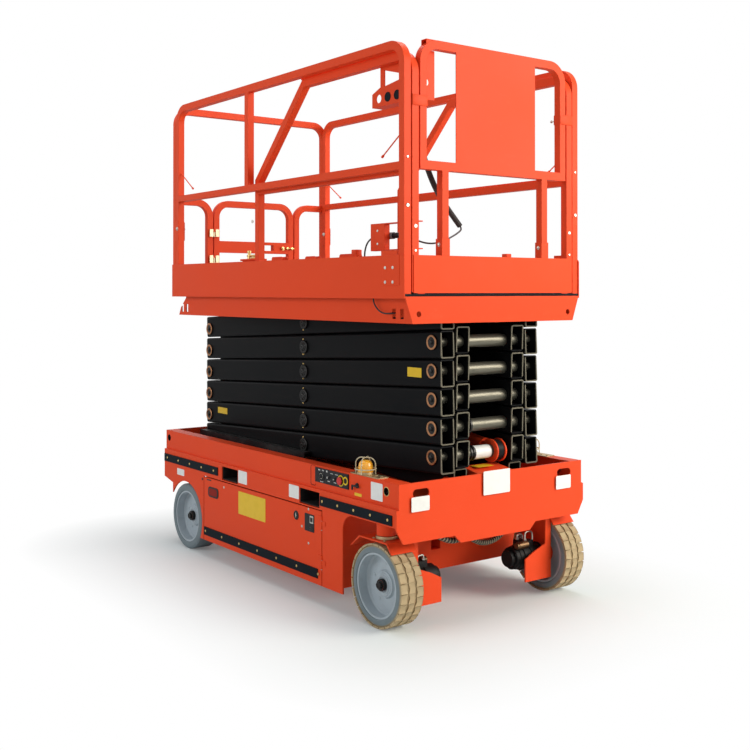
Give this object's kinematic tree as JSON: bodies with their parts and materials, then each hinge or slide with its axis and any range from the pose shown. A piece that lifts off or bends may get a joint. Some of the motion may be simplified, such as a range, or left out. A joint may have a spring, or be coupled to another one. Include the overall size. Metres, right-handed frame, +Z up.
{
  "type": "self-propelled scissor lift",
  "caption": "Self-propelled scissor lift with a folded stack of crossed arms, guarded platform, sliding deck extension, swing-out trays, steered front wheels and forklift pockets.",
  "frame": {"origin": "on the floor, under the centre of the whole machine's bounding box", "axes": "+X forward to the steered wheels and deck extension, +Y to the machine's left, +Z up"},
  "size_m": [2.343, 1.194, 2.6579],
  "materials": {
    "tyre": "matt grey rubber, dusty tread",
    "grey_paint": "satin grey paint",
    "red_paint": "semi-gloss orange-red paint",
    "dark_paint": "glossy near-black navy paint",
    "steel": "dull galvanised steel",
    "cast_metal": "dark cast metal",
    "chrome": "polished piston rod",
    "rubber": "matt black rubber",
    "black_plastic": "matt black panel",
    "cord": "black cable jackets and hoses",
    "amber_plastic": "clear amber lens"
  },
  "bodies": {
    "chassis": {"chassis_frame": "red_paint", "side_beams": "red_paint", "fork_pockets": "red_paint", "stack_tracks": "steel", "side_panel_left": "red_paint", "side_panel_right": "red_paint", "front_plate": "red_paint", "rear_plate": "red_paint", "bump_strips": "rubber", "ground_control": "black_plastic", "beacons": "amber_plastic", "drive_hose_right": "cord", "drive_hose_left": "cord"},
    "wheel_rear_left": {"tyre_rear_left": "tyre", "rim_rear_left": "grey_paint"},
    "wheel_rear_right": {"tyre_rear_right": "tyre", "rim_rear_right": "grey_paint"},
    "wheel_front_left": {"tyre_front_left": "tyre", "rim_front_left": "grey_paint"},
    "wheel_front_right": {"tyre_front_right": "tyre", "rim_front_right": "grey_paint"},
    "knuckle_left": {"knuckle_left": "red_paint", "drive_motor_left": "cast_metal"},
    "knuckle_right": {"knuckle_right": "red_paint", "drive_motor_right": "cast_metal"},
    "tray_left": {"tray_left": "red_paint", "tray_strip_left": "rubber"},
    "tray_right": {"tray_right": "red_paint", "tray_strip_right": "rubber"},
    "inner_1": {"inner_arm_1": "dark_paint"},
    "outer_1": {"outer_arm_1": "dark_paint"},
    "inner_2": {"inner_arm_2": "dark_paint"},
    "outer_2": {"outer_arm_2": "dark_paint"},
    "inner_3": {"inner_arm_3": "dark_paint"},
    "outer_3": {"outer_arm_3": "dark_paint"},
    "inner_4": {"inner_arm_4": "dark_paint"},
    "outer_4": {"outer_arm_4": "dark_paint"},
    "inner_5": {"inner_arm_5": "dark_paint"},
    "outer_5": {"outer_arm_5": "dark_paint"},
    "inner_6": {"inner_arm_6": "dark_paint"},
    "outer_6": {"outer_arm_6": "dark_paint"},
    "barrel": {"lift_barrel": "red_paint"},
    "rod": {"lift_rod": "chrome"},
    "platform": {"platform_deck": "steel", "platform_frame": "red_paint", "toe_boards": "red_paint", "side_rail_left": "red_paint", "side_rail_right": "red_paint", "rear_rail": "red_paint", "skirt_cable": "cord"},
    "gate": {"gate": "red_paint"},
    "extension": {"extension_deck": "steel", "extension_rail_left": "red_paint", "extension_rail_right": "red_paint", "front_rail": "red_paint", "control_bracket": "red_paint", "control_box": "red_paint", "control_plug": "black_plastic", "control_hose": "cord", "control_cable": "cord", "box_cable": "cord"}
  },
  "joints": [
    {"name": "steer_left", "type": "hinge", "parent": "chassis", "child": "knuckle_left", "pos_m": [0.981, 0.52, 0.45], "axis": [0, 0, 1], "range_deg": [-40, 40]},
    {"name": "steer_right", "type": "hinge", "parent": "chassis", "child": "knuckle_right", "pos_m": [0.981, -0.52, 0.45], "axis": [0, 0, 1], "range_deg": [-40, 40]},
    {"name": "wheel_rear_left_spin", "type": "hinge", "parent": "chassis", "child": "wheel_rear_left", "pos_m": [-0.887, 0.52, 0.1905], "axis": [0, 1, 0], "continuous": true},
    {"name": "wheel_rear_right_spin", "type": "hinge", "parent": "chassis", "child": "wheel_rear_right", "pos_m": [-0.887, -0.52, 0.1905], "axis": [0, 1, 0], "continuous": true},
    {"name": "wheel_front_left_spin", "type": "hinge", "parent": "knuckle_left", "child": "wheel_front_left", "pos_m": [0.981, 0.52, 0.1905], "axis": [0, 1, 0], "continuous": true},
    {"name": "wheel_front_right_spin", "type": "hinge", "parent": "knuckle_right", "child": "wheel_front_right", "pos_m": [0.981, -0.52, 0.1905], "axis": [0, 1, 0], "continuous": true},
    {"name": "tray_left_swing", "type": "hinge", "parent": "chassis", "child": "tray_left", "pos_m": [0.557, 0.591, 0.3], "axis": [0, 0, -1], "range_deg": [0, 90]},
    {"name": "tray_right_swing", "type": "hinge", "parent": "chassis", "child": "tray_right", "pos_m": [0.557, -0.591, 0.3], "axis": [0, 0, 1], "range_deg": [0, 90]},
    {"name": "lift", "type": "hinge", "parent": "chassis", "child": "inner_1", "pos_m": [1.054, 0, 0.622], "axis": [0, 1, 0], "range_deg": [0, 56.49]},
    {"name": "outer_1_pivot", "type": "hinge", "parent": "inner_1", "child": "outer_1", "pos_m": [-0.0305, 0, 0.6885], "axis": [0, 1, 0], "range_deg": [-114.8, 0]},
    {"name": "inner_2_pivot", "type": "hinge", "parent": "outer_1", "child": "inner_2", "pos_m": [1.054, 0, 0.755], "axis": [0, 1, 0], "range_deg": [0, 114.8]},
    {"name": "outer_2_pivot", "type": "hinge", "parent": "inner_2", "child": "outer_2", "pos_m": [-0.0305, 0, 0.8215], "axis": [0, 1, 0], "range_deg": [-114.8, 0]},
    {"name": "inner_3_pivot", "type": "hinge", "parent": "outer_2", "child": "inner_3", "pos_m": [1.054, 0, 0.888], "axis": [0, 1, 0], "range_deg": [0, 114.8]},
    {"name": "outer_3_pivot", "type": "hinge", "parent": "inner_3", "child": "outer_3", "pos_m": [-0.0305, 0, 0.9545], "axis": [0, 1, 0], "range_deg": [-114.8, 0]},
    {"name": "inner_4_pivot", "type": "hinge", "parent": "outer_3", "child": "inner_4", "pos_m": [1.054, 0, 1.021], "axis": [0, 1, 0], "range_deg": [0, 114.8]},
    {"name": "outer_4_pivot", "type": "hinge", "parent": "inner_4", "child": "outer_4", "pos_m": [-0.0305, 0, 1.0875], "axis": [0, 1, 0], "range_deg": [-114.8, 0]},
    {"name": "inner_5_pivot", "type": "hinge", "parent": "outer_4", "child": "inner_5", "pos_m": [1.054, 0, 1.154], "axis": [0, 1, 0], "range_deg": [0, 114.8]},
    {"name": "outer_5_pivot", "type": "hinge", "parent": "inner_5", "child": "outer_5", "pos_m": [-0.0305, 0, 1.2205], "axis": [0, 1, 0], "range_deg": [-114.8, 0]},
    {"name": "inner_6_pivot", "type": "hinge", "parent": "outer_5", "child": "inner_6", "pos_m": [1.054, 0, 1.287], "axis": [0, 1, 0], "range_deg": [0, 114.8]},
    {"name": "outer_6_pivot", "type": "hinge", "parent": "inner_6", "child": "outer_6", "pos_m": [-0.0305, 0, 1.3535], "axis": [0, 1, 0], "range_deg": [-114.8, 0]},
    {"name": "cylinder_pivot", "type": "hinge", "parent": "inner_2", "child": "barrel", "pos_m": [1.054, 0.08, 0.755], "axis": [0, 1, 0], "range_deg": [0, 12.45]},
    {"name": "cylinder_stroke", "type": "slide", "parent": "barrel", "child": "rod", "axis": [-0.992, 0, 0.1259], "range_m": [0, 1.7689]},
    {"name": "platform_pivot", "type": "hinge", "parent": "outer_6", "child": "platform", "pos_m": [1.054, 0, 1.42], "axis": [0, 1, 0], "range_deg": [0, 58.31]},
    {"name": "gate_swing", "type": "hinge", "parent": "platform", "child": "gate", "pos_m": [-1.088, -0.297, 1.8], "axis": [0, 0, -1], "range_deg": [0, 90]},
    {"name": "extension_slide", "type": "slide", "parent": "platform", "child": "extension", "axis": [1, 0, 0], "range_m": [0, 0.9]}
  ],
  "couplings": [
    {"joint": "steer_right", "follows": "steer_left", "ratio": 1},
    {"joint": "outer_1_pivot", "follows": "lift", "ratio": -2},
    {"joint": "inner_2_pivot", "follows": "lift", "ratio": 2},
    {"joint": "outer_2_pivot", "follows": "lift", "ratio": -2},
    {"joint": "inner_3_pivot", "follows": "lift", "ratio": 2},
    {"joint": "outer_3_pivot", "follows": "lift", "ratio": -2},
    {"joint": "inner_4_pivot", "follows": "lift", "ratio": 2},
    {"joint": "outer_4_pivot", "follows": "lift", "ratio": -2},
    {"joint": "inner_5_pivot", "follows": "lift", "ratio": 2},
    {"joint": "outer_5_pivot", "follows": "lift", "ratio": -2},
    {"joint": "inner_6_pivot", "follows": "lift", "ratio": 2},
    {"joint": "outer_6_pivot", "follows": "lift", "ratio": -2},
    {"joint": "cylinder_pivot", "follows": "lift", "ratio": 0.18817},
    {"joint": "cylinder_stroke", "follows": "lift", "m_per_rad": 1.7607},
    {"joint": "platform_pivot", "follows": "lift", "ratio": 1}
  ]
}
